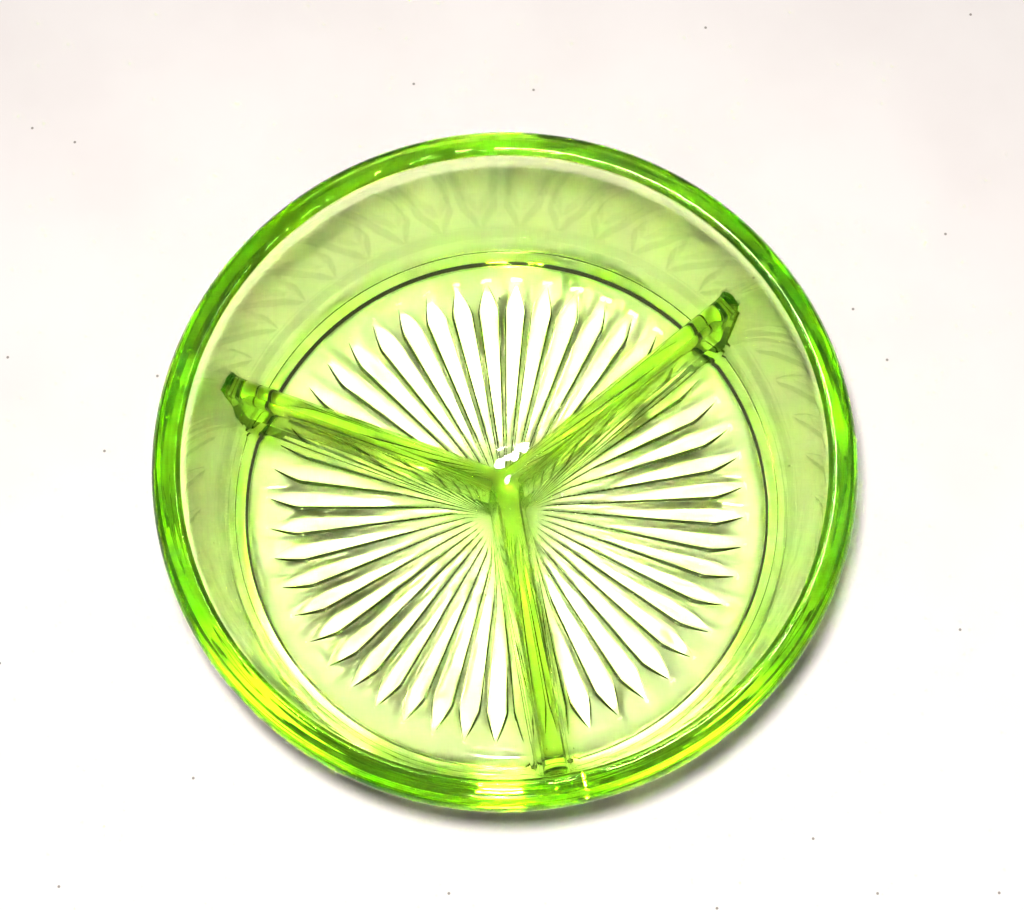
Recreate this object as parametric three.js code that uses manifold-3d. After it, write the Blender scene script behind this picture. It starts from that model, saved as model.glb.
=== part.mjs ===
// Three-compartment dish in uranium glass, pressed in one mould.
// Millimetres, +Z up, origin at the centre of the foot, one divider pointing along -Y.
// The pressing is divided into the zones a glassmaker names: rim, wall, heel, foot, floor, hub and dividers.
import * as THREE from 'three';
import { mergeVertices } from 'three/addons/utils/BufferGeometryUtils.js';
import Module from 'manifold-3d';

// Driving dimensions
const RIM_RADIUS = 76;          // widest point of the dish
const HEIGHT = 48;              // foot to the top of the rim
const INNER_EDGE_RADIUS = 69.5; // where the rim turns down into the bowl
const WALL_DRAFT = 9.2;         // degrees that the wall leans out, inside and outside
const FLOOR_TOP = 7.9;
const FLOOR_UNDERSIDE = 3.2;    // between the rays
const DIVIDER_HEIGHT = 19.2;    // crest above the floor
const DIVIDER_COUNT = 3;
const RAY_COUNT = 48;           // raised rays under the floor

// Rim
const SHOULDER_ROUND = 3;
const INNER_EDGE_ROUND = 1.2;
const RIM_DEPTH = 7;            // height of the rim zone
const LIP_STEP = 1;             // how far the rim stands out beyond the wall under it
const LIP_TOP = 44;             // heights between which that step rounds in
const LIP_BASE = 41.5;

// Heel and foot
const FOOT_HEIGHT = 1.5;
const FLOOR_FILLET = 1.6;       // inside, between floor and wall
const HEEL_ROUND = 4;           // outside, between wall and foot
const HEEL_TOP = 14;
const FLOOR_PLATE_RADIUS = 60;
const FOOT_INNER_RADIUS = 60.5;
const FOOT_OUTER_RADIUS = 64;
const FOOT_ROUND = 0.7;

// Dividers
const CREST_ROUND = 2.7;
const DIVIDER_DRAFT = 5;
const DIVIDER_FILLET = 2.5;     // between divider and floor
const HUB_RADIUS = 9;
const FIRST_DIVIDER = -90;      // degrees, counted from +X towards +Y

// Rays: long, pointed, rounded ribs under the floor, widest at RAY_SHOULDER
const RAY_START = 6;
const RAY_SHOULDER = 48;
const RAY_TIP = 55;
const RAY_DEPTH = 1.5;          // how far the widest part stands down from the floor
const RAY_WIDTH_SHARE = 0.96;   // of the spacing; the rest is the valley between two rays
const RAY_ROOT = 0.5;           // how far a ray's solid reaches up into the floor before they are joined
const RAY_TURN = 2.85;          // degrees from +X to the middle of the first ray

const ZONE_GAP = 0.3;           // left between two zones that meet on a curved face
const TURN_STEPS = 72;          // facets round the dish
const ARC_STEP = 22.5;          // degrees to one facet of a small round

const wasm = await Module();
wasm.setup();

const radians = THREE.MathUtils.degToRad;
const wallSlope = Math.tan(radians(WALL_DRAFT));
const divideSlope = Math.tan(radians(DIVIDER_DRAFT));
const crestTop = FLOOR_TOP + DIVIDER_HEIGHT;

// ---- outlines, as [radius, height] points ----

function arc(x, y, radius, from, to) {
  const steps = Math.max(2, Math.ceil(Math.abs(to - from) / ARC_STEP));
  return Array.from({ length: steps + 1 }, (_, i) => {
    const angle = radians(from + (to - from) * i / steps);
    return [x + radius * Math.cos(angle), y + radius * Math.sin(angle)];
  });
}

const shoulderCentre = [RIM_RADIUS - SHOULDER_ROUND, HEIGHT - SHOULDER_ROUND];
const innerEdgeCentre = [INNER_EDGE_RADIUS + INNER_EDGE_ROUND, HEIGHT - INNER_EDGE_ROUND];

// A round that touches a leaning line lies this far from it along the radius.
const reach = radius => radius / Math.cos(radians(WALL_DRAFT));

function innerWall(z) {
  return innerEdgeCentre[0] - reach(INNER_EDGE_ROUND) - (innerEdgeCentre[1] - z) * wallSlope;
}

function outerWall(z) {
  const step = LIP_STEP * (1 - THREE.MathUtils.smoothstep(z, LIP_BASE, LIP_TOP));
  return shoulderCentre[0] + reach(SHOULDER_ROUND) - (shoulderCentre[1] - z) * wallSlope - step;
}

const filletZ = FLOOR_TOP + FLOOR_FILLET;
const floorFillet = arc(innerWall(filletZ) - reach(FLOOR_FILLET), filletZ, FLOOR_FILLET, -90, -WALL_DRAFT);
const heelZ = FOOT_HEIGHT + HEEL_ROUND;
const heelRound = arc(outerWall(heelZ) - reach(HEEL_ROUND), heelZ, HEEL_ROUND, -90, -WALL_DRAFT);

const rimBase = HEIGHT - RIM_DEPTH;
const rimOutline = [
  [innerWall(rimBase), rimBase],
  [outerWall(rimBase), rimBase],
  ...[0, 0.3, 0.5, 0.7, 1].map(share => {
    const z = LIP_BASE + (LIP_TOP - LIP_BASE) * share;
    return [outerWall(z), z];
  }),
  ...arc(...shoulderCentre, SHOULDER_ROUND, -WALL_DRAFT, 90),
  ...arc(...innerEdgeCentre, INNER_EDGE_ROUND, 90, 180 - WALL_DRAFT),
];

const wallOutline = [
  [innerWall(HEEL_TOP), HEEL_TOP],
  [outerWall(HEEL_TOP), HEEL_TOP],
  [outerWall(rimBase), rimBase],
  [innerWall(rimBase), rimBase],
];

const heelOutline = [
  [FLOOR_PLATE_RADIUS + ZONE_GAP, FLOOR_UNDERSIDE],
  [FOOT_INNER_RADIUS, FOOT_HEIGHT],
  ...heelRound,
  [outerWall(HEEL_TOP), HEEL_TOP],
  [innerWall(HEEL_TOP), HEEL_TOP],
  ...[...floorFillet].reverse(),
  [FLOOR_PLATE_RADIUS + ZONE_GAP, FLOOR_TOP],
];

const footOutline = [
  ...arc(FOOT_INNER_RADIUS + FOOT_ROUND, FOOT_ROUND, FOOT_ROUND, 180, 270),
  ...arc(FOOT_OUTER_RADIUS - FOOT_ROUND, FOOT_ROUND, FOOT_ROUND, 270, 360),
  [FOOT_OUTER_RADIUS, FOOT_HEIGHT],
  [FOOT_INNER_RADIUS, FOOT_HEIGHT],
];

const plateOutline = [
  [0, FLOOR_UNDERSIDE],
  [FLOOR_PLATE_RADIUS, FLOOR_UNDERSIDE],
  [FLOOR_PLATE_RADIUS, FLOOR_TOP],
  [0, FLOOR_TOP],
];

// The open bowl above the floor, kept clear of the wall by the zone gap. It trims the dividers' ends.
const bowlOutline = [
  [0, FLOOR_TOP],
  ...floorFillet.map(([r, z]) => [r - ZONE_GAP, z]),
  [innerWall(rimBase) - ZONE_GAP, rimBase],
  [0, rimBase],
];

// ---- solids ----

function lathe(outline) {
  const closed = outline[0][0] === 0 ? outline : [...outline, outline[0]];
  const profile = closed.map(([r, z]) => new THREE.Vector2(r, z));
  return new THREE.LatheGeometry(profile, TURN_STEPS).rotateX(Math.PI / 2);
}

function toSolid(geometry) {
  const bare = geometry.clone();
  bare.deleteAttribute('normal');
  bare.deleteAttribute('uv');
  const merged = mergeVertices(bare, 1e-4);
  const corners = merged.index.array;
  const triangles = [];
  for (let i = 0; i < corners.length; i += 3) {
    const [a, b, c] = corners.slice(i, i + 3);
    if (a !== b && b !== c && c !== a) triangles.push(a, b, c);
  }
  return new wasm.Manifold(new wasm.Mesh({
    numProp: 3,
    vertProperties: merged.attributes.position.array,
    triVerts: new Uint32Array(triangles),
  }));
}

function toGeometry(solid) {
  const { vertProperties, triVerts } = solid.getMesh();
  const geometry = new THREE.BufferGeometry();
  geometry.setAttribute('position', new THREE.BufferAttribute(vertProperties, 3));
  geometry.setIndex(new THREE.BufferAttribute(triVerts, 1));
  geometry.computeVertexNormals();
  return geometry;
}

// One ray, laid along +X: a rounded rib that grows from a point near the axis and narrows again to its tip.
function ray() {
  const halfWidth = RAY_SHOULDER * Math.tan(Math.PI / RAY_COUNT) * RAY_WIDTH_SHARE;
  const sides = [-1, -0.6, 0, 0.6, 1];
  const belly = sides.map(side => new THREE.Vector2(side * halfWidth, -RAY_DEPTH * (1 - side * side)));
  const root = [new THREE.Vector2(halfWidth, RAY_ROOT), new THREE.Vector2(-halfWidth, RAY_ROOT)];
  const section = new THREE.Shape([...belly, ...root]);
  const geometry = new THREE.ExtrudeGeometry(section, { depth: 2, steps: 2, bevelEnabled: false });
  geometry.rotateX(Math.PI / 2).rotateZ(Math.PI / 2);
  const stations = [[RAY_START, RAY_START / RAY_SHOULDER], [RAY_SHOULDER, 1], [RAY_TIP, 0.03]];
  const position = geometry.attributes.position;
  for (let i = 0; i < position.count; i++) {
    const [x, share] = stations[Math.round(position.getX(i))];
    const height = position.getZ(i);
    position.setXYZ(i, x, position.getY(i) * share, height < 0 ? height * share : height);
  }
  return geometry.translate(0, 0, FLOOR_UNDERSIDE);
}

function rayedFloor() {
  const rib = toSolid(ray());
  let floor = toSolid(lathe(plateOutline));
  for (let i = 0; i < RAY_COUNT; i++) {
    floor = floor.add(rib.rotate([0, 0, RAY_TURN + i * 360 / RAY_COUNT]));
  }
  return floor;
}

// A divider's section stands on the floor: concave fillets, leaning flanks and a round crest.
function dividerSection() {
  const crestZ = crestTop - CREST_ROUND;
  const filletTop = FLOOR_TOP + DIVIDER_FILLET;
  const lean = Math.cos(radians(DIVIDER_DRAFT));
  const flank = (CREST_ROUND + DIVIDER_FILLET) / lean + (crestZ - filletTop) * divideSlope;
  const right = arc(flank, filletTop, DIVIDER_FILLET, 270, 180 + DIVIDER_DRAFT);
  const left = right.map(([y, z]) => [-y, z]).reverse();
  const crown = arc(0, crestZ, CREST_ROUND, DIVIDER_DRAFT, 180 - DIVIDER_DRAFT);
  return [...right, ...crown, ...left].map(([y, z]) => new THREE.Vector2(y, z));
}

// A divider runs from the dish's axis out through the wall, along +X, before it is trimmed.
function dividerBlank() {
  const shape = new THREE.Shape(dividerSection());
  const geometry = new THREE.ExtrudeGeometry(shape, { depth: RIM_RADIUS, bevelEnabled: false });
  return toSolid(geometry.rotateX(Math.PI / 2).rotateZ(Math.PI / 2));
}

function column(radius) {
  return toSolid(lathe([[0, 0], [radius, 0], [radius, HEIGHT], [0, HEIGHT]]));
}

const bowl = toSolid(lathe(bowlOutline));
const blanks = Array.from({ length: DIVIDER_COUNT }, (_, i) =>
  dividerBlank().rotate([0, 0, FIRST_DIVIDER + i * 360 / DIVIDER_COUNT]).intersect(bowl));

const hub = blanks.reduce((joined, blank) => joined.add(blank)).intersect(column(HUB_RADIUS));
const dividers = blanks.map(blank => blank.subtract(column(HUB_RADIUS + ZONE_GAP)));

// ---- the dish ----

const pressedGlass = name => new THREE.MeshStandardMaterial({
  name, color: 0xa6dc28, roughness: 0.08, metalness: 0, transparent: true, opacity: 0.6,
});

const dish = new THREE.Group();
dish.name = 'three_compartment_dish';

function place(name, geometry) {
  const mesh = new THREE.Mesh(geometry, pressedGlass(name));
  mesh.name = name;
  dish.add(mesh);
}

place('rim', toGeometry(toSolid(lathe(rimOutline))));
place('side_wall', toGeometry(toSolid(lathe(wallOutline))));
place('heel', toGeometry(toSolid(lathe(heelOutline))));
place('foot_ring', toGeometry(toSolid(lathe(footOutline))));
place('rayed_floor', toGeometry(rayedFloor()));
place('divider_hub', toGeometry(hub));
['divider_front', 'divider_right', 'divider_left'].forEach((name, i) => {
  place(name, toGeometry(dividers[i]));
});

export default dish;
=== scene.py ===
"""Three-compartment dish of uranium glass, pressed in one mould, on a white table."""
import math

import bpy
from mathutils import Matrix, Vector


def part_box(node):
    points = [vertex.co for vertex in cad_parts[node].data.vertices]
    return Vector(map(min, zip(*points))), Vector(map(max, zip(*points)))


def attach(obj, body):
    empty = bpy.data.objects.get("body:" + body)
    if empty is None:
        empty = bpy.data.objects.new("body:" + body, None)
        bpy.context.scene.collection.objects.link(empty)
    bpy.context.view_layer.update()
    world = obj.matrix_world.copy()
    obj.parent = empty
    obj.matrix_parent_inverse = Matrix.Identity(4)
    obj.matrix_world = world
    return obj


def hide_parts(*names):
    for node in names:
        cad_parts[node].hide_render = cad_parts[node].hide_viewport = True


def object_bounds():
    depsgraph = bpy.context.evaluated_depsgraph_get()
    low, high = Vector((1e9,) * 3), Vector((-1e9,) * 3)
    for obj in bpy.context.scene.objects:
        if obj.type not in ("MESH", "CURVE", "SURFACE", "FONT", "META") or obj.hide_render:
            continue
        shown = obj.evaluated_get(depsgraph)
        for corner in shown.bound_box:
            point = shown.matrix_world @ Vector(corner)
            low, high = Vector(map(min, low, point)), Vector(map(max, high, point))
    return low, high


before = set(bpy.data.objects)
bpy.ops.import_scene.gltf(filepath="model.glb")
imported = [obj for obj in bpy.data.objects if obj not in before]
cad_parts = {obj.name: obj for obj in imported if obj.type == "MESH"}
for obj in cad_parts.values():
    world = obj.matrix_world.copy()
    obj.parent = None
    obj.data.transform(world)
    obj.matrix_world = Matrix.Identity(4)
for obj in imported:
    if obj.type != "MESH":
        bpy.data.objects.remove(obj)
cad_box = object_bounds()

MM = 0.001

# Sizes that come from the frame, in millimetres as all below are
RIM_RADIUS = (cad_box[1][0] - cad_box[0][0]) / 2 / MM
HEIGHT = cad_box[1][2] / MM
FLOOR_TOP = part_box("divider_hub")[0][2] / MM
CREST_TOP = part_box("divider_hub")[1][2] / MM
FOOT_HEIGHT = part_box("heel")[0][2] / MM
FOOT_OUTER_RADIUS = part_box("foot_ring")[1][0] / MM

# Rim and wall
INNER_EDGE_RADIUS = 69.5
WALL_DRAFT = math.radians(9.2)
SHOULDER_ROUND = 3.0
INNER_EDGE_ROUND = 1.2
LIP_STEP = 1.0               # how far the rim stands out beyond the wall under it
LIP_TOP = 44.0               # heights between which that step rounds in
LIP_BASE = 41.5
LIP_HEIGHTS = (LIP_TOP, 43.5, 43.1, 42.75, 42.4, 42.0, LIP_BASE)    # closest together where it is steepest
FLOOR_FILLET = 1.6
HEEL_ROUND = 4.0

# Foot and rayed underside
FOOT_INNER_RADIUS = 60.5
FOOT_ROUND = 0.7
FLOOR_UNDERSIDE = 3.2
RAY_COUNT = 48
RAY_TURN = math.radians(2.85)
RAY_START = 6.0
RAY_SHOULDER = 48.0
RAY_TIP = 55.5
RAY_DEPTH = 1.5
RAY_EDGE = 0.9               # where a ray's belly ends, as a share of half its spacing
RAY_COLUMNS = (-0.9, -0.78, -0.6, -0.3, 0.0, 0.3, 0.6, 0.78, 0.9, 1.0)    # shares of half its spacing
HALF_SPACING = math.pi / RAY_COUNT
RAY_BELLY_POWER = 2.2        # 2 is a round belly, and more is a flatter one with steeper sides
RAY_POINT_POWER = 1.3        # 1 is a straight-sided tip, and more bows its sides outwards

# Dividers
DIVIDER_COUNT = 3
FIRST_DIVIDER = math.radians(-90)
CREST_ROUND = 2.7
DIVIDER_DRAFT = math.radians(5)
DIVIDER_FILLET = 2.5
TOE_DIP = math.radians(7)    # slope at which the fillet's toe runs into the floor
TOE = 0.8                    # how far the toe runs on below the floor, so that the two join cleanly
HUB_FILLET = 2.5
FLANK_SPREAD = 0.5           # how much further out a flank stands about halfway down than at its crown
HUB_STATIONS = (0, 1, 2, 3, 4, 5, 6, 8)    # places along an arm where its section is repeated
ARM_STATIONS = tuple(range(11, 57, 5))
END_FILLET = 4.0             # where a crest climbs the wall
END_DEPTH = 2.0              # how deep a divider's solid reaches into the wall before they are joined
DIVIDER_ROOT = 2.5           # how deep a divider's solid reaches into the floor before they are joined

# Points closer than this are welded into one, and finer where the dividers join the dish
WELD = 0.01
FINE_WELD = 0.002
NEAR = 0.1                   # how close to a height or radius a point of the underside counts as on it
SLICE_EDGE = 0.99            # share of half a ray's spacing beyond which a point is on its slice's edge
OFF_MIDDLE = 0.0001          # how far from an arm's middle plane a point counts as off it


# ---- outlines, as (radius, height) points in millimetres ----

def arc(x, y, radius, start, end, step=15):
    """Points of an arc from start to end degrees."""
    steps = max(2, math.ceil(abs(end - start) / step))
    turns = [math.radians(start + (end - start) * i / steps) for i in range(steps + 1)]
    return [(x + radius * math.cos(turn), y + radius * math.sin(turn)) for turn in turns]


def reach(radius):
    """How far a round that touches the leaning wall lies from it along the dish's radius."""
    return radius / math.cos(WALL_DRAFT)


def between(start, end, steps):
    """Points on a straight line, with the start but not the end."""
    return [(start[0] + (end[0] - start[0]) * i / steps, start[1] + (end[1] - start[1]) * i / steps)
            for i in range(steps)]


LEAN = math.degrees(WALL_DRAFT)
SHOULDER = (RIM_RADIUS - SHOULDER_ROUND, HEIGHT - SHOULDER_ROUND)
INNER_EDGE = (INNER_EDGE_RADIUS + INNER_EDGE_ROUND, HEIGHT - INNER_EDGE_ROUND)


def inner_wall(z):
    return INNER_EDGE[0] - reach(INNER_EDGE_ROUND) - (INNER_EDGE[1] - z) * math.tan(WALL_DRAFT)


def outer_wall(z):
    share = min(max((LIP_TOP - z) / (LIP_TOP - LIP_BASE), 0.0), 1.0)
    step = LIP_STEP * share ** 2 * (3 - 2 * share)
    return SHOULDER[0] + reach(SHOULDER_ROUND) - (SHOULDER[1] - z) * math.tan(WALL_DRAFT) - step


def dish_outline():
    """Half of the dish cut down its axis: floor, wall, rim, wall, heel, foot and underside."""
    fillet_z = FLOOR_TOP + FLOOR_FILLET
    fillet = arc(inner_wall(fillet_z) - reach(FLOOR_FILLET), fillet_z, FLOOR_FILLET, -90, -LEAN, step=12)
    rim = (arc(*INNER_EDGE, INNER_EDGE_ROUND, 180 - LEAN, 90)
           + arc(*SHOULDER, SHOULDER_ROUND, 90, -LEAN, step=8))
    heel_z = FOOT_HEIGHT + HEEL_ROUND
    heel = arc(outer_wall(heel_z) - reach(HEEL_ROUND), heel_z, HEEL_ROUND, -LEAN, -90, step=10)
    lip = [(outer_wall(z), z) for z in LIP_HEIGHTS]
    foot = (arc(FOOT_OUTER_RADIUS - FOOT_ROUND, FOOT_ROUND, FOOT_ROUND, 0, -90, step=20)
            + arc(FOOT_INNER_RADIUS + FOOT_ROUND, FOOT_ROUND, FOOT_ROUND, -90, -180, step=20))
    corners = (FOOT_INNER_RADIUS, RAY_TIP, RAY_SHOULDER, RAY_START, 0)
    under = [(radius, FLOOR_UNDERSIDE) for radius in corners]
    underside = (between(under[0], under[1], steps=2) + between(under[1], under[2], steps=8)
                 + between(under[2], under[3], steps=14) + under[3:])
    return (between((0, FLOOR_TOP), fillet[0], steps=24) + fillet
            + between(fillet[-1], rim[0], steps=10)[1:] + rim
            + lip + between(lip[-1], heel[0], steps=9)[1:] + heel
            + [(FOOT_OUTER_RADIUS, FOOT_HEIGHT)] + foot + underside)


def divider_section():
    """A divider cut across, as (sideways, height) points: crown, leaning flanks and base fillets."""
    draft = math.degrees(DIVIDER_DRAFT)
    crown_z = CREST_TOP - CREST_ROUND
    fillet_z = FLOOR_TOP + DIVIDER_FILLET * math.cos(TOE_DIP)
    flank_top = CREST_ROUND / math.cos(DIVIDER_DRAFT)
    flank_base = flank_top + (crown_z - fillet_z) * math.tan(DIVIDER_DRAFT)
    centre = flank_base + DIVIDER_FILLET / math.cos(DIVIDER_DRAFT)
    fillet = arc(centre, fillet_z, DIVIDER_FILLET, 180 + draft, 270 - math.degrees(TOE_DIP), step=10)
    fillet.append((fillet[-1][0] + TOE, fillet[-1][1] - TOE * math.tan(TOE_DIP)))
    right = arc(0, crown_z, CREST_ROUND, 90, draft, step=10)
    right += between(right[-1], fillet[0], steps=8)[1:] + fillet
    right.append((right[-1][0], FLOOR_TOP - DIVIDER_ROOT))
    left = [(-y, z) for y, z in reversed(right[1:])]
    return right + left


# ---- modelling ----

def start_line(name, x, y, z):
    """A primitive plane at its place, merged to the one point that an outline is drawn from."""
    bpy.ops.object.select_all(action="DESELECT")
    bpy.ops.mesh.primitive_plane_add(size=MM, location=(0, 0, 0))
    piece = bpy.context.object
    piece.name = name
    bpy.ops.object.mode_set(mode="EDIT")
    bpy.ops.mesh.select_mode(type="VERT")
    bpy.ops.mesh.select_all(action="SELECT")
    bpy.ops.mesh.merge(type="CENTER")
    bpy.ops.transform.translate(value=(x * MM, y * MM, z * MM))
    return piece


def draw_line(points):
    """Extrudes the selected point along the rest of an outline."""
    for start, end in zip(points, points[1:]):
        step = (Vector(end) - Vector(start)) * MM
        bpy.ops.mesh.extrude_vertices_move(TRANSFORM_OT_translate={"value": step})


WIDEST_RAY = RAY_SHOULDER * math.tan(HALF_SPACING)    # half the width of a ray where it is widest


def ray_half_width(radius):
    """Half the width of a ray: it widens evenly from the axis and runs in a bowed point to its tip."""
    if radius <= RAY_SHOULDER:
        return WIDEST_RAY * radius / RAY_SHOULDER
    share = (radius - RAY_SHOULDER) / (RAY_TIP - RAY_SHOULDER)
    return WIDEST_RAY * max(0.0, 1 - share ** RAY_POINT_POWER)


def press_rays(piece):
    """Gives one slice of the underside the rounded belly of its ray, with the valleys at its sides."""
    for vertex in piece.data.vertices:
        flat = Vector(vertex.co.xy) / MM
        radius = flat.length
        if vertex.co.z > (FLOOR_UNDERSIDE + NEAR) * MM or not RAY_START <= radius <= RAY_TIP + NEAR:
            continue
        turn = math.atan2(flat.y, flat.x) - RAY_TURN
        side = turn / HALF_SPACING
        half = ray_half_width(radius)
        on_edge = abs(side) > SLICE_EDGE
        if radius > RAY_SHOULDER and not on_edge:
            turn = side * half / radius
            vertex.co.x = radius * math.cos(turn + RAY_TURN) * MM
            vertex.co.y = radius * math.sin(turn + RAY_TURN) * MM
        belly = max(0.0, 1 - abs(side / RAY_EDGE) ** RAY_BELLY_POWER)
        vertex.co.z -= RAY_DEPTH * half / WIDEST_RAY * belly * MM


def close_up(piece, distance=WELD):
    """Merges doubles and turns every face outwards."""
    bpy.ops.object.mode_set(mode="EDIT")
    bpy.ops.mesh.select_all(action="SELECT")
    bpy.ops.mesh.remove_doubles(threshold=distance * MM)
    bpy.ops.mesh.normals_make_consistent(inside=False)
    bpy.ops.object.mode_set(mode="OBJECT")


def dish_body():
    """One slice of the dish is drawn, swept a ray's width, given its ray and repeated round the axis."""
    outline = dish_outline()
    start = RAY_TURN - HALF_SPACING
    heading = Vector((math.cos(start), math.sin(start), 0))
    points = [heading * radius + Vector((0, 0, z)) for radius, z in outline]
    piece = start_line("uranium_glass_dish", *points[0])
    draw_line(points)
    bpy.ops.mesh.select_all(action="SELECT")
    side = -1.0
    for column in RAY_COLUMNS:
        turn = (column - side) * HALF_SPACING
        bpy.ops.mesh.spin(steps=1, angle=-turn, center=(0, 0, 0), axis=(0, 0, 1))
        side = column
    bpy.ops.object.mode_set(mode="OBJECT")
    press_rays(piece)
    bpy.ops.object.mode_set(mode="EDIT")
    bpy.ops.mesh.select_all(action="SELECT")
    bpy.ops.mesh.spin(steps=RAY_COUNT, dupli=True, angle=2 * math.pi, center=(0, 0, 0), axis=(0, 0, 1))
    close_up(piece)
    return piece


CLIMB_CENTRE = (inner_wall(CREST_TOP + END_FILLET) - reach(END_FILLET), CREST_TOP + END_FILLET)
CREST_CLIMB = arc(*CLIMB_CENTRE, END_FILLET, -90, -LEAN, step=10)


def rounded(distance, radius):
    """How far a round of this radius stands out at a distance into it."""
    inside = min(max(distance, 0.0), radius)
    return radius - math.sqrt(radius ** 2 - inside ** 2)


def crest_rise(x):
    """How far the crest has climbed the wall at x."""
    start = CREST_CLIMB[0][0]
    return rounded(min(x, CREST_CLIMB[-1][0]) - start, END_FILLET)


def divider_arm():
    """One arm of the Y along +X: its section runs from the axis, cut to a point there, into the wall."""
    section = divider_section()
    flank = CREST_ROUND / math.cos(DIVIDER_DRAFT) + FLANK_SPREAD
    corner = (flank + HUB_FILLET) / math.tan(math.pi / DIVIDER_COUNT)
    in_wall = CREST_CLIMB[-1][0] + END_DEPTH + 1    # a little past the depth that the end is cut back to
    stations = [*HUB_STATIONS, *ARM_STATIONS, *(x for x, z in CREST_CLIMB), in_wall]
    points = [Vector((0, y, z)) for y, z in section]
    piece = start_line("divider_arm", *points[0])
    draw_line(points + points[:1])
    bpy.ops.mesh.select_all(action="SELECT")
    bpy.ops.mesh.remove_doubles(threshold=WELD * MM)
    bpy.ops.mesh.edge_face_add()
    for start, end in zip(stations, stations[1:]):
        bpy.ops.mesh.extrude_region_move(TRANSFORM_OT_translate={"value": ((end - start) * MM, 0, 0)})
    bpy.ops.object.mode_set(mode="OBJECT")
    for vertex in piece.data.vertices:
        x, y, z = vertex.co / MM
        if abs(y) > OFF_MIDDLE:
            vertex.co.y += math.copysign(rounded(corner - x, HUB_FILLET) * MM, y)
        if z > FLOOR_TOP:
            z += crest_rise(x) * (z - FLOOR_TOP) / (CREST_TOP - FLOOR_TOP)
            vertex.co.z = z * MM
        vertex.co.x = min(x, inner_wall(z) + END_DEPTH) * MM
    bpy.ops.object.mode_set(mode="EDIT")
    for sign in (-1, 1):
        turn = sign * math.pi / DIVIDER_COUNT
        outwards = (-math.sin(turn) * sign, math.cos(turn) * sign, 0)
        bpy.ops.mesh.select_all(action="SELECT")
        bpy.ops.mesh.bisect(plane_co=(0, 0, 0), plane_no=outwards,
                            clear_outer=True, clear_inner=False, threshold=1e-8)
    close_up(piece)
    return piece


def divider_y():
    """The arm, copied round the axis and merged into one solid Y."""
    piece = divider_arm()
    bpy.ops.object.mode_set(mode="EDIT")
    bpy.ops.mesh.select_all(action="SELECT")
    bpy.ops.mesh.spin(steps=DIVIDER_COUNT, dupli=True, angle=2 * math.pi, center=(0, 0, 0), axis=(0, 0, 1))
    close_up(piece)
    bpy.ops.object.mode_set(mode="EDIT")
    bpy.ops.mesh.select_all(action="SELECT")
    bpy.ops.mesh.delete_loose(use_faces=False)
    bpy.ops.object.mode_set(mode="OBJECT")
    piece.data.transform(Matrix.Rotation(FIRST_DIVIDER, 4, "Z"))
    piece.name = "divider_y"
    return piece


def join_glass(body, dividers):
    """Makes the dividers one glass with the dish, as the press does."""
    bpy.ops.object.select_all(action="DESELECT")
    bpy.context.view_layer.objects.active = body
    body.select_set(True)
    join = body.modifiers.new("pressed_together", "BOOLEAN")
    join.operation = "UNION"
    join.solver = "EXACT"
    join.object = dividers
    bpy.ops.object.modifier_apply(modifier=join.name)
    bpy.data.objects.remove(dividers, do_unlink=True)
    close_up(body, distance=FINE_WELD)
    bpy.ops.object.shade_smooth()


# ---- materials ----

def linear(code):
    """An sRGB hex colour as linear red, green, blue and alpha."""
    parts = [int(code[i:i + 2], 16) / 255 for i in (1, 3, 5)]
    return [c / 12.92 if c <= 0.04045 else ((c + 0.055) / 1.055) ** 2.4 for c in parts] + [1.0]


def node(tree, kind, settings=None, links=None):
    """Adds a node, sets its properties and sockets, and links its inputs from other nodes' outputs."""
    made = tree.nodes.new(kind)
    for key, value in (settings or {}).items():
        if isinstance(key, str) and hasattr(made, key):
            setattr(made, key, value)
        else:
            made.inputs[key].default_value = value
    for key, source in (links or {}).items():
        tree.links.new(source, made.inputs[key])
    return made


def new_material(name):
    material = bpy.data.materials.new(name)
    material.use_nodes = True
    material.node_tree.nodes.clear()
    return material, material.node_tree


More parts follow.
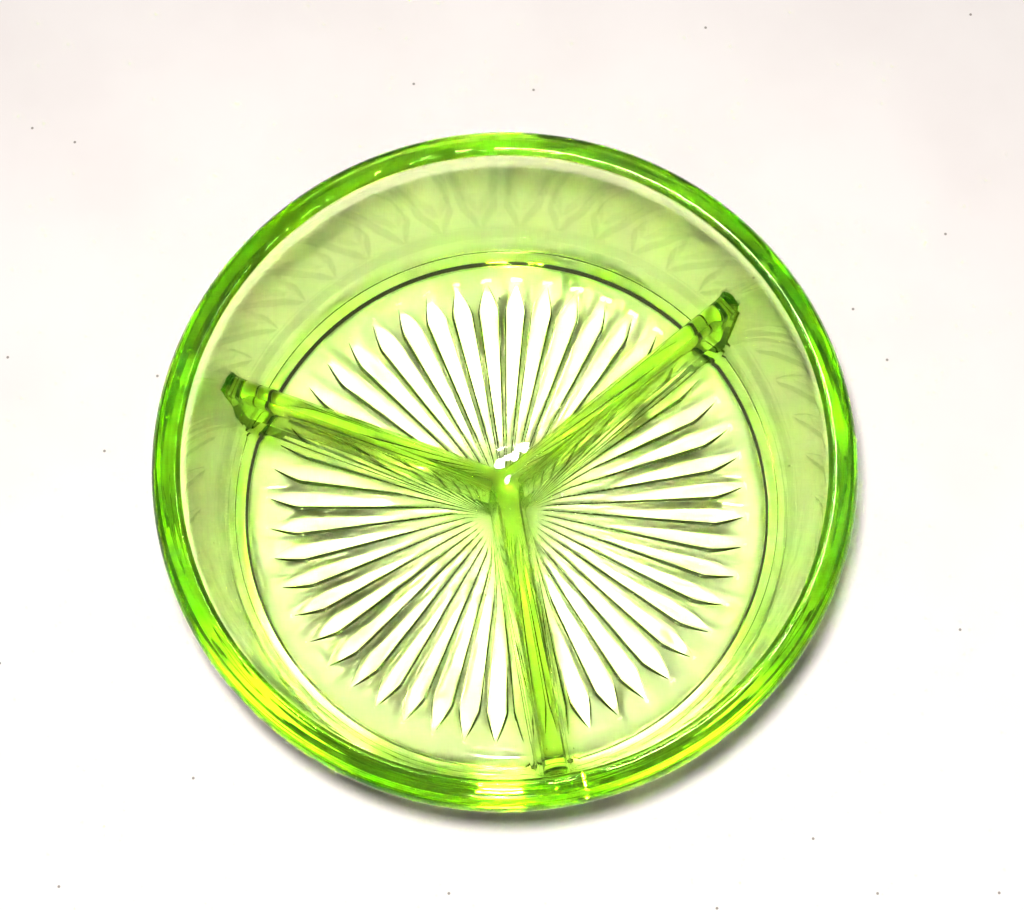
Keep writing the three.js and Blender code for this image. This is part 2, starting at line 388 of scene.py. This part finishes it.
def uranium_glass():
    """Fire-polished pressed soda glass with uranium oxide."""
    material, tree = new_material("uranium_glass_pressed")
    place = node(tree, "ShaderNodeTexCoord").outputs["Object"]
    height = node(tree, "ShaderNodeSeparateXYZ", links={0: place}).outputs["Z"]

    # Slow waves of 9 mm that the press leaves in the skin: they bend the highlights into broken dashes
    waves = node(tree, "ShaderNodeTexNoise", {"Scale": 1 / (9 * MM), "Detail": 2.0}, {"Vector": place})
    skin = node(tree, "ShaderNodeBump", {"Strength": 1.0, "Distance": 0.04 * MM},
                {"Height": waves.outputs["Fac"]})

    # Stipple of 0.7 mm grain in the mould's middle, where the rays are too fine to cut: it greys the centre
    flat = node(tree, "ShaderNodeVectorMath", {"operation": "MULTIPLY", 1: (1.0, 1.0, 0.0)}, {0: place})
    radius = node(tree, "ShaderNodeVectorMath", {"operation": "LENGTH"}, {0: flat.outputs[0]})
    central = node(tree, "ShaderNodeMapRange", {
        "From Min": 8 * MM, "From Max": 34 * MM, "To Min": 1.0, "To Max": 0.0},
        {"Value": radius.outputs["Value"]})
    under = node(tree, "ShaderNodeMapRange", {
        "From Min": 4.0 * MM, "From Max": 4.5 * MM, "To Min": 1.0, "To Max": 0.0}, {"Value": height})
    stippled = node(tree, "ShaderNodeMath", {"operation": "MULTIPLY"},
                    {0: central.outputs[0], 1: under.outputs[0]})
    grain = node(tree, "ShaderNodeTexNoise", {"Scale": 1 / (0.7 * MM), "Detail": 1.0}, {"Vector": place})
    pressed = node(tree, "ShaderNodeBump", {"Distance": 0.12 * MM}, {
        "Strength": stippled.outputs[0], "Height": grain.outputs["Fac"], "Normal": skin.outputs[0]})

    # Turning marks 1.2 mm apart on top of the rim, printed from the mould's ring: fine lines along the rim.
    # A Wave texture has 20 radians to each unit of its scale.
    rings = node(tree, "ShaderNodeTexWave", {
        "wave_type": "RINGS", "rings_direction": "Z", "Scale": 2 * math.pi / 20 / (1.2 * MM),
        "Distortion": 0.6, "Detail": 1.0, "Detail Scale": 0.4}, {"Vector": place})
    on_rim = node(tree, "ShaderNodeMapRange", {
        "From Min": 45.5 * MM, "From Max": 47.5 * MM, "To Min": 0.0, "To Max": 0.5}, {"Value": height})
    marked = node(tree, "ShaderNodeBump", {"Distance": 0.03 * MM}, {
        "Strength": on_rim.outputs[0], "Height": rings.outputs["Fac"], "Normal": pressed.outputs[0]})

    # Specks of dust 0.3 mm wide, one to every 5 mm cube, so about 20 mm apart on the skin: dull dots on the
    # polish. A Voronoi distance is a share of its cell.
    specks = node(tree, "ShaderNodeTexVoronoi", {"Scale": 1 / (5 * MM)}, {"Vector": place})
    dust = node(tree, "ShaderNodeMapRange", {
        "From Min": 0.02, "From Max": 0.04, "To Min": 0.45, "To Max": 0.012},
        {"Value": specks.outputs["Distance"]})

    # Clear glass in itself, with a volume that lets yellow-green through and keeps blue back
    glass = node(tree, "ShaderNodeBsdfPrincipled", {
        "Base Color": linear("#ffffff"), "IOR": 1.52, "Transmission Weight": 1.0},
        {"Roughness": dust.outputs[0], "Normal": marked.outputs[0]})
    tint = node(tree, "ShaderNodeVolumeAbsorption", {"Color": (0.745, 0.94, 0.0, 1.0), "Density": 68.0})
    node(tree, "ShaderNodeOutputMaterial", links={"Surface": glass.outputs[0], "Volume": tint.outputs[0]})
    return material


def white_table():
    """Matt white board."""
    material, tree = new_material("white_table_matt")
    place = node(tree, "ShaderNodeTexCoord").outputs["Object"]

    # Fibres under a millimetre long: the board is never quite even
    fibres = node(tree, "ShaderNodeTexNoise", {"Scale": 1 / (0.8 * MM), "Detail": 3.0}, {"Vector": place})
    tooth = node(tree, "ShaderNodeBump", {"Strength": 0.25, "Distance": 0.05 * MM},
                 {"Height": fibres.outputs["Fac"]})

    # Soft smudges 45 mm wide, hardly darker than the board
    smudges = node(tree, "ShaderNodeTexNoise", {"Scale": 1 / (45 * MM), "Detail": 4.0}, {"Vector": place})
    paper = node(tree, "ShaderNodeValToRGB", links={"Fac": smudges.outputs["Fac"]})
    paper.color_ramp.elements[0].position = 0.3
    paper.color_ramp.elements[0].color = linear("#f2efee")
    paper.color_ramp.elements[1].position = 0.6
    paper.color_ramp.elements[1].color = linear("#f6f4f3")

    # Crumbs 0.6 mm wide, one to every 45 mm square. Sockets 6 and 7 are the two colours that are mixed.
    crumbs = node(tree, "ShaderNodeTexVoronoi", {"voronoi_dimensions": "2D", "Scale": 1 / (45 * MM)},
                  {"Vector": place})
    spot = node(tree, "ShaderNodeMapRange", {
        "From Min": 0.005, "From Max": 0.009, "To Min": 0.7, "To Max": 0.0},
        {"Value": crumbs.outputs["Distance"]})
    spotted = node(tree, "ShaderNodeMix", {"data_type": "RGBA", 7: linear("#7d766f")},
                   {"Factor": spot.outputs[0], 6: paper.outputs["Color"]})
    board = node(tree, "ShaderNodeBsdfPrincipled", {"Roughness": 0.9, "Specular IOR Level": 0.1},
                 {"Base Color": spotted.outputs[2], "Normal": tooth.outputs[0]})
    node(tree, "ShaderNodeOutputMaterial", links={"Surface": board.outputs[0]})
    return material


# ---- the dish ----

dish = dish_body()
join_glass(dish, divider_y())
dish.data.materials.append(uranium_glass())
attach(dish, "root")
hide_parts("rim", "side_wall", "heel", "foot_ring", "rayed_floor",
            "divider_hub", "divider_front", "divider_right", "divider_left")


# ---- table, light and camera ----

TABLE_WIDTH = 6.0            # metres
bpy.ops.object.select_all(action="DESELECT")
bpy.ops.mesh.primitive_plane_add(size=TABLE_WIDTH, location=(0, 0, 0))
table = bpy.context.object
table.name = "white_table"
table.data.materials.append(white_table())


def disc_light(name, place, radius, brightness, colour):
    """A round lamp facing the dish, with its place and radius in metres and its brightness as radiance."""
    data = bpy.data.lights.new(name, "AREA")
    data.shape = "DISK"
    data.size = 2 * radius
    data.energy = brightness * math.pi * math.pi * radius ** 2
    data.color = linear(colour)[:3]
    lamp = bpy.data.objects.new(name, data)
    lamp.location = place
    lamp.rotation_euler = lamp.location.to_track_quat("Z", "Y").to_euler()
    bpy.context.scene.collection.objects.link(lamp)
    return lamp


# The key lamp hangs near the camera and throws the crescent of shadow round the front of the dish
KEY_PLACE = (-0.030, -0.105, 0.609)
KEY_COLOUR = "#fffbf8"
key_lamp = disc_light("key_lamp", KEY_PLACE, radius=0.025, brightness=660, colour=KEY_COLOUR)
key_lamp.visible_glossy = False

# The bare bulb in the middle of the key lamp: small sharp glints on the polish
bulb = disc_light("key_bulb", KEY_PLACE, radius=0.006, brightness=1500, colour=KEY_COLOUR)
bulb.visible_diffuse = False
bulb.visible_transmission = False

# A weak second lamp, high up behind the dish: fainter glints on the polish
disc_light("ceiling_lamp", (0.07, 0.415, 1.5), radius=0.03, brightness=40, colour="#ffffff")

# Soft light from all round, twice as strong overhead as low down
world = bpy.data.worlds.new("studio")
world.use_nodes = True
world.node_tree.nodes.clear()
direction = node(world.node_tree, "ShaderNodeTexCoord")
height = node(world.node_tree, "ShaderNodeSeparateXYZ", links={0: direction.outputs["Generated"]})
shade = node(world.node_tree, "ShaderNodeMapRange", {
    "interpolation_type": "SMOOTHSTEP", "From Min": 0.3, "From Max": 1.0, "To Min": 0.15, "To Max": 0.3},
    {"Value": height.outputs["Z"]})
sky = node(world.node_tree, "ShaderNodeBackground", {"Color": linear("#ece6e4")},
           {"Strength": shade.outputs[0]})
node(world.node_tree, "ShaderNodeOutputWorld", links={"Surface": sky.outputs[0]})
bpy.context.scene.world = world

# The camera looks at the middle of the rim's plane, from the front and nearly straight above
CAMERA_ELEVATION = math.radians(73.83)
CAMERA_TURN = math.radians(-7.07)
CAMERA_DISTANCE = 514.06 * MM
CAMERA_ROLL = math.radians(-2.67)
CAMERA_SWING = math.radians(-0.19)
FOCAL_LENGTH = 84.375        # millimetres, as camera makers give it
SENSOR_WIDTH = 36
aim = Vector((0, 0, HEIGHT * MM))
away = Vector((0, -math.cos(CAMERA_ELEVATION), math.sin(CAMERA_ELEVATION))) * CAMERA_DISTANCE
lens = bpy.data.cameras.new("camera")
lens.lens = FOCAL_LENGTH
lens.sensor_width = SENSOR_WIDTH
camera = bpy.data.objects.new("camera", lens)
turn = Matrix.Rotation(CAMERA_TURN, 4, "Z")
camera.matrix_world = (Matrix.Translation(aim + turn @ away) @ turn
                       @ Matrix.Rotation(math.pi / 2 - CAMERA_ELEVATION, 4, "X")
                       @ Matrix.Rotation(CAMERA_ROLL, 4, "Z")
                       @ Matrix.Rotation(CAMERA_SWING, 4, "Y"))
scene = bpy.context.scene
scene.collection.objects.link(camera)
scene.camera = camera

# Light crosses the glass many times. Its bright paths aren't clamped: they light the floor and the shadow.
GLASS_BOUNCES = 24
scene.view_settings.view_transform = "Standard"
scene.view_settings.gamma = 0.76
scene.cycles.max_bounces = GLASS_BOUNCES
scene.cycles.transmission_bounces = GLASS_BOUNCES
scene.cycles.glossy_bounces = 12
scene.cycles.volume_bounces = 0
scene.cycles.sample_clamp_indirect = 0
scene.cycles.blur_glossy = 0
